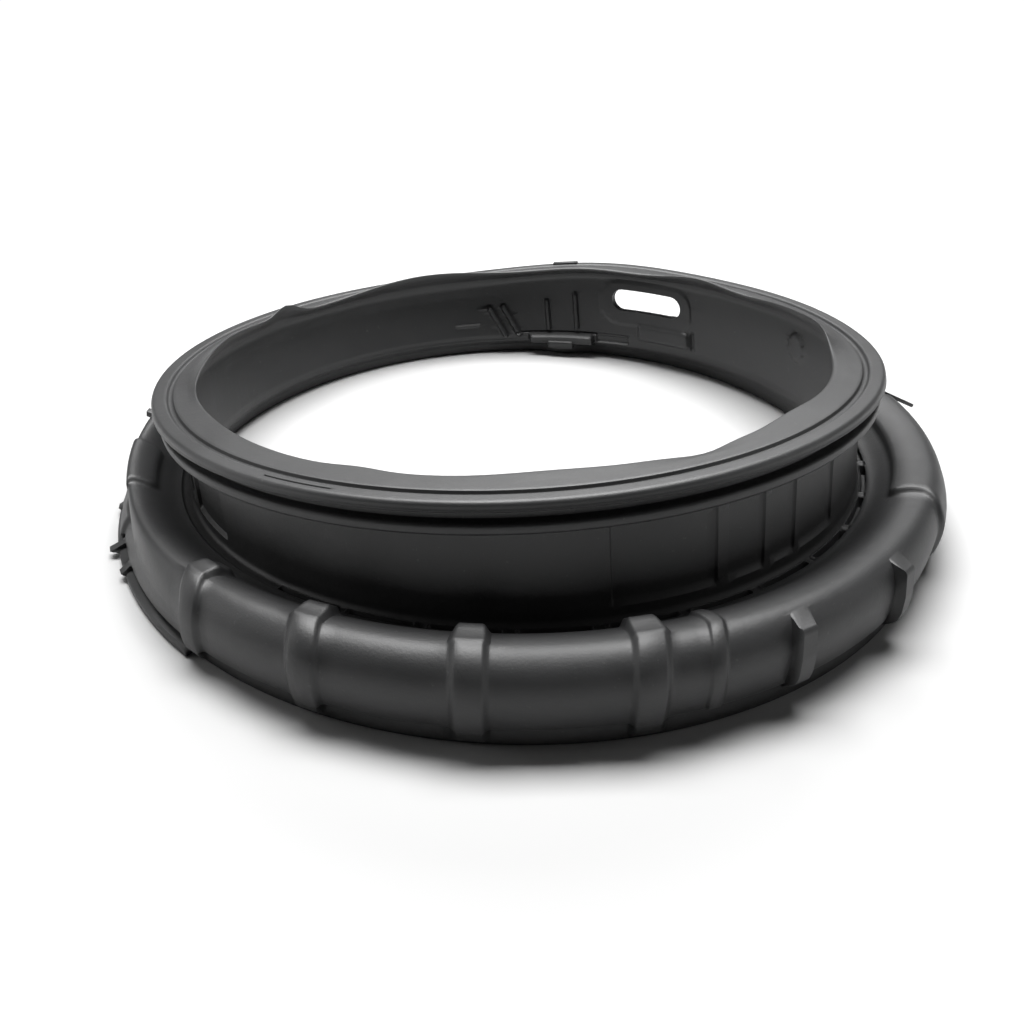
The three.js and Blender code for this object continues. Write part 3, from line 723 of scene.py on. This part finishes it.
def makeSeal():
    cutter = slotCutter()
    carrier = addObject("trueRing", trueRing())
    settle = carrier.modifiers.new("Settle", "NODES")
    settle.node_group = settleTree()
    giveInputs(settle, {
        "Cutter": cutter, "Rubber": rubberMaterial(), "Face Lean": (*soft["faceLean"], 0.0),
        "Face Tilt": (*soft["faceTilt"], 0.0), "Valley Tilt": (*soft["valleyTilt"], 0.0),
        "Roll Tilt": (*soft["rollTilt"], 0.0), "Centre": (*soft["centre"], 0.0),
        "Crown Twist": soft["crownTwist"]})
    seal = baked(carrier, "doorSealLook")
    bpy.data.objects.remove(cutter)
    mesh = bmesh.new()
    mesh.from_mesh(seal.data)
    bmesh.ops.remove_doubles(mesh, verts=mesh.verts, dist=sealMesh["merge"])
    bmesh.ops.recalc_face_normals(mesh, faces=mesh.faces)
    mesh.to_mesh(seal.data)
    mesh.free()
    seal.data.set_sharp_from_angle(angle=math.radians(sealMesh["sharp"]))
    seal.data.calc_loop_triangles()
    print("stage: settled seal", len(seal.data.loop_triangles), "triangles")
    return seal


seal = makeSeal()
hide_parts("door_seal")
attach(seal, "root")


# Pale floor that glows more and more away from the seal, so that it stays evenly pale up to its far edge
floorLook = {
    "size": 60.0, "drop": 0.0004, "colour": (0.46, 0.46, 0.46), "roughness": 0.8, "specular": 0.2,
    "glowColour": (1, 1, 1), "glow": 1.0, "glowStart": 0.3, "glowEnd": 0.9,
}


def floorMaterial():
    material = bpy.data.materials.new("floorPaint")
    material.use_nodes = True
    nodes, link = material.node_tree.nodes, material.node_tree.links.new
    shader = nodes["Principled BSDF"]
    setInputs(shader, {
        "Base Color": (*floorLook["colour"], 1), "Emission Color": (*floorLook["glowColour"], 1),
        "Roughness": floorLook["roughness"], "Specular IOR Level": floorLook["specular"]})
    away, glow = nodes.new("ShaderNodeVectorMath"), nodes.new("ShaderNodeMapRange")
    away.operation, glow.interpolation_type = "LENGTH", "SMOOTHSTEP"
    setInputs(glow, {"From Min": floorLook["glowStart"], "From Max": floorLook["glowEnd"],
                     "To Max": floorLook["glow"]})
    link(nodes.new("ShaderNodeTexCoord").outputs["Object"], away.inputs[0])
    link(away.outputs["Value"], glow.inputs["Value"])
    link(glow.outputs[0], shader.inputs["Emission Strength"])
    return material


def makeFloor():
    half, low = floorLook["size"] / 2, -floorLook["drop"]
    corners = [(-half, -half, low), (half, -half, low), (half, half, low), (-half, half, low)]
    data = bpy.data.meshes.new("floor")
    data.from_pydata(corners, [], [(0, 1, 2, 3)])
    data.materials.append(floorMaterial())
    return addObject("floor", data)


makeFloor()
print("stage: floor")

# Soft studio light: one broad lamp overhead, one behind and a weak one on each side
lights = {
    "keyLight": {"size": (1.3, 0.6), "energy": 46, "place": (-0.05, 0.28, 1.25), "aim": (-0.05, -0.05, 0)},
    "leftLight": {"size": (0.9, 0.7), "energy": 4, "place": (-1.4, 0.0, 0.6), "aim": (0, 0, 0.03)},
    "rightLight": {"size": (0.9, 0.7), "energy": 2, "place": (1.4, -0.25, 0.6), "aim": (0, 0, 0.03)},
    "backLight": {"size": (0.9, 0.35), "energy": 14, "place": (0.1, 1.08, 1.08), "aim": (0, -0.1, 0.05)},
}


def addLight(label, look):
    data = bpy.data.lights.new(label, "AREA")
    data.shape = "RECTANGLE"
    data.size, data.size_y = look["size"]
    data.energy = look["energy"]
    lamp = addObject(label, data)
    lamp.location = look["place"]
    lamp.rotation_euler = (Vector(look["aim"]) - Vector(look["place"])).to_track_quat("-Z", "Y").to_euler()


for label, look in lights.items():
    addLight(label, look)

# The room lights the seal hardly at all, and looks white where the camera sees it
room = {"colour": (1, 1, 1), "strength": 0.02, "seen": 1.0}


def makeRoom():
    world = bpy.data.worlds.new("room")
    world.use_nodes = True
    nodes, link = world.node_tree.nodes, world.node_tree.links.new
    backdrop, seen = nodes["Background"], nodes.new("ShaderNodeMapRange")
    backdrop.inputs[0].default_value = (*room["colour"], 1)
    setInputs(seen, {"To Min": room["strength"], "To Max": room["seen"]})
    link(nodes.new("ShaderNodeLightPath").outputs["Is Camera Ray"], seen.inputs[0])
    link(seen.outputs[0], backdrop.inputs[1])
    return world


bpy.context.scene.world = makeRoom()
bpy.context.scene.view_settings.view_transform = "Standard"
print("stage: light")

# The photo's own view: place in mm, turns in degrees, focal length and width in pixels
shot = {"place": (-4.83, -500.6, 286.1), "down": 31.94, "turn": 0.171, "focal": 1008.7, "wide": 1024,
        "sensor": 36}


def addCamera():
    data = bpy.data.cameras.new("photoView")
    data.sensor_width = shot["sensor"]
    data.lens = shot["focal"] / shot["wide"] * shot["sensor"]
    camera = addObject("photoView", data)
    x, y, z = shot["place"]
    camera.location = [value * millimetre for value in (x + soft["centre"][0], y + soft["centre"][1], z)]
    camera.rotation_euler = (math.radians(90 - shot["down"]), 0, math.radians(shot["turn"]))
    bpy.context.scene.camera = camera


addCamera()
